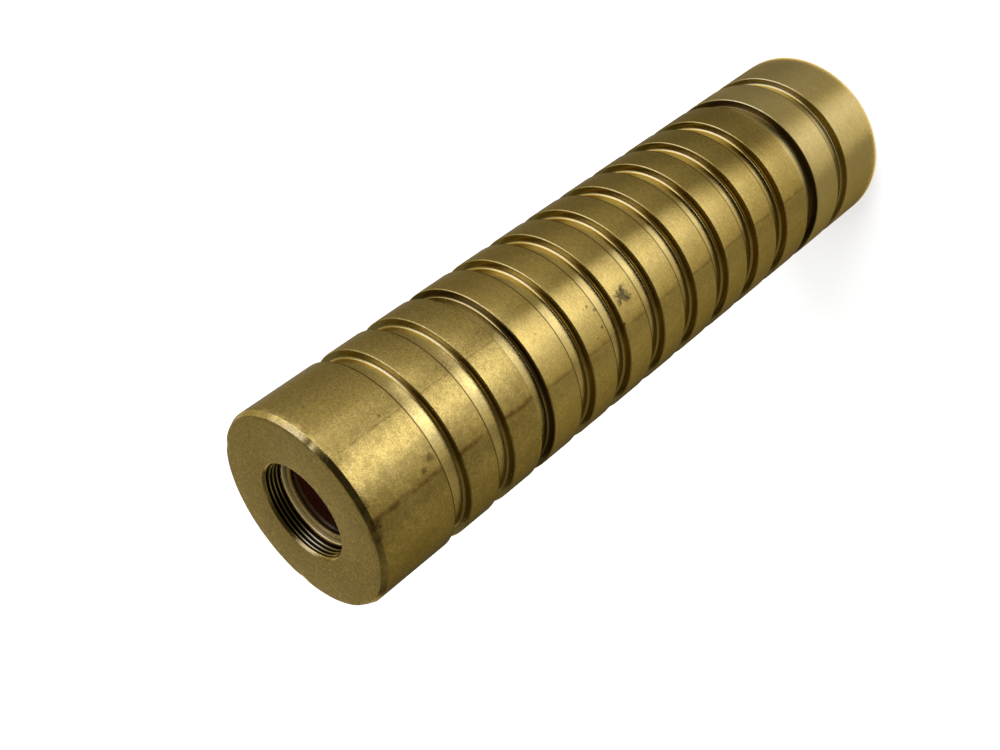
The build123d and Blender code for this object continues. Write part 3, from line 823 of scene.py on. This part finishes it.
CAP_SEES = ((-90, 0.40), (-80, 0.32), (-72, 0.31), (-60, 0.27), (-50, 0.26), (-40, 0.33), (-30, 0.45),
            (-20, 0.50), (-14.5, 0.55), (-12, 0.72), (-5, 1.26), (0, 1.46), (5, 1.44), (10, 1.28),
            (17, 1.10), (24, 0.86), (27, 0.50), (33, 0.46), (40, 0.48), (50, 0.43), (60, 0.38),
            (70, 0.27), (80, 0.19), (90, 0.18))
HEAD_SEES = ((-90, 0.42), (-80, 0.31), (-72, 0.28), (-60, 0.26), (-50, 0.29), (-40, 0.42), (-30, 0.54),
             (-27, 0.66), (-24, 1.75), (-12, 1.35), (-4, 2.5), (0, 3.1), (4, 2.35), (10, 1.22),
             (17, 0.60), (24, 0.40), (28, 0.26), (35, 0.34), (40, 0.38), (50, 0.32), (60, 0.25),
             (70, 0.17), (80, 0.10), (90, 0.12))
FORE_SEES = ((-90, 0.39), (-80, 0.28), (-72, 0.23), (-60, 0.21), (-50, 0.22), (-40, 0.32), (-30, 0.41),
             (-20, 0.36), (-14.5, 0.40), (-12, 1.10), (-5, 1.85), (0, 2.25), (5, 1.85), (10, 1.20),
             (17, 0.82), (24, 0.60), (27, 0.31), (33, 0.34), (40, 0.40), (50, 0.33), (60, 0.26),
             (70, 0.17), (80, 0.10), (90, 0.12))
LAST_SEES = ((-90, 0.36), (-80, 0.27), (-72, 0.25), (-60, 0.23), (-50, 0.20), (-40, 0.24), (-30, 0.29),
             (-20, 0.27), (-14.5, 0.26), (-12, 0.33), (-5, 0.74), (0, 0.95), (5, 0.93), (10, 0.82),
             (17, 0.74), (24, 0.66), (27, 0.40), (33, 0.39), (40, 0.44), (50, 0.38), (60, 0.32),
             (70, 0.24), (80, 0.17), (90, 0.16))
# Each table at the distances along the floor that its part of the body mirrors
SEES = ((12, CAP_SEES), (25, CAP_SEES), (27, LAST_SEES), (32, LAST_SEES), (36, REAR_SEES),
        (42, REAR_SEES), (54, TUBE_SEES), (96, TUBE_SEES), (143, FORE_SEES), (200, HEAD_SEES),
        (CARD_REACH, HEAD_SEES))
# Brightness of the floor further out, at each azimuth, and the distance where that begins
FAR_FLOOR = ((-180, 0.9), (-150, 0.6), (-128, 0.6), (-110, 1.4), (-46, 1.6), (-36, 1.0), (-26, 0.25),
             (-15, 0.10), (34, 0.08), (50, 0.06), (140, 0.06), (165, 0.9), (180, 0.9))
FAR_FROM = ((-180, 330), (-60, 330), (-30, 240), (60, 240), (90, 330), (180, 330))
# Brightness round the horizon, in bands of elevation
LOW_SKY = ((-180, 1.2), (-160, 1.0), (-138, 0.45), (-118, 0.6), (-104, 1.0), (-88, 1.9), (-48, 2.0),
           (-36, 1.9), (-26, 0.35), (-15, 0.12), (20, 0.08), (45, 0.08), (60, 0.20), (105, 0.20),
           (140, 0.06), (160, 1.0), (180, 1.2))
MID_SKY = ((-180, 0.225), (-150, 0.23), (-120, 0.27), (-105, 0.60), (-90, 1.20), (-70, 1.40),
           (-52, 0.80), (-42, 0.16), (-30, 0.04), (-15, 0.03), (40, 0.06), (60, 0.10), (90, 0.12),
           (130, 0.12), (150, 0.15), (170, 0.225), (180, 0.225))
HIGH_SKY = ((-180, 0.24), (-130, 0.25), (-110, 0.6), (-95, 1.2), (-66, 1.2), (-54, 0.5), (-44, 0.10),
            (-25, 0.05), (70, 0.05), (85, 0.22), (180, 0.24))
TOP_SKY = ((-180, 0.24), (-100, 0.26), (-60, 0.18), (-40, 0.05), (70, 0.05), (100, 0.20), (180, 0.24))
SKY = ((0, LOW_SKY), (16, LOW_SKY), (24, MID_SKY), (43, MID_SKY), (47, HIGH_SKY), (59, HIGH_SKY),
       (64, TOP_SKY), (90, TOP_SKY))


def floor_card():
    """Card on the floor, lit so that the upright body mirrors one broad band and soft sides."""
    grid, levels, warm = [], [], []
    reaches = (CARD_START, 18, 25, 28, 34, 40, 54, 70, 100, 128, 150, 175, 200, 240, 280, 330, 400,
               500, 700, CARD_REACH)
    for angle in (-90 + 2.5 * i for i in range(73)):
        x, y = facing(angle)
        p, q = facing(2 * angle)
        row, light = [], []
        for reach in reaches:
            out = reach - CARD_START
            row.append((CARD_START * x + out * p, CARD_START * y + out * q, 0.3))
            level = between([(r, between(table, angle)) for r, table in SEES], reach)
            level *= 0.66 + 0.34 * min(1.0, max(0.0, (reach - 18) / 50))
            far = min(1.0, max(0.0, (reach - between(FAR_FROM, 2 * angle)) / 80))
            light.append(level * (1 - far) + between(FAR_FLOOR, 2 * angle) * far)
        grid.append(row)
        levels.append(light)
        warm.append([0.3 * min(1.0, max(0.0, (angle - 35) / 30))] * len(light))
    return graded("floor_card", grid, levels, warm)


def sky_card():
    """Dome over the floor card, with a bright low strip on one side and a dark front."""
    rises = (0, 4, 8, 12, 16, 20, 24, 30, 36, 42, 46, 50, 55, 60, 66, 72, 80, 90)
    grid, levels, warm = [], [], []
    for azimuth in (-180 + 4 * i for i in range(91)):
        x, y = facing(azimuth)
        grid.append([(CARD_REACH * x * cos(radians(rise)), CARD_REACH * y * cos(radians(rise)),
                      CARD_REACH * sin(radians(rise)) + 0.2) for rise in rises])
        levels.append([between([(height, between(table, azimuth)) for height, table in SKY], rise)
                       for rise in rises])
        side = between(((-125, 0), (-105, -1.0), (-60, -1.0), (-40, 0)), azimuth)
        warm.append([side * between(((18, 0), (28, 1), (60, 1), (72, 0)), rise) for rise in rises])
    return graded("sky_card", grid, levels, warm)


floor_card()
sky_card()

key = bpy.data.objects.new("key_lamp", bpy.data.lights.new("key_lamp", "AREA"))
scene.collection.objects.link(key)
key.data.shape = "DISK"
key.data.size = 0.5
key.data.energy = 4
key.location = (0.35, -0.25, 0.75)
key.rotation_euler = (Vector((0, 0, 0.03)) - key.location).to_track_quat("-Z", "Y").to_euler()
key.visible_glossy = False


# View
scene.view_settings.view_transform = "Standard"
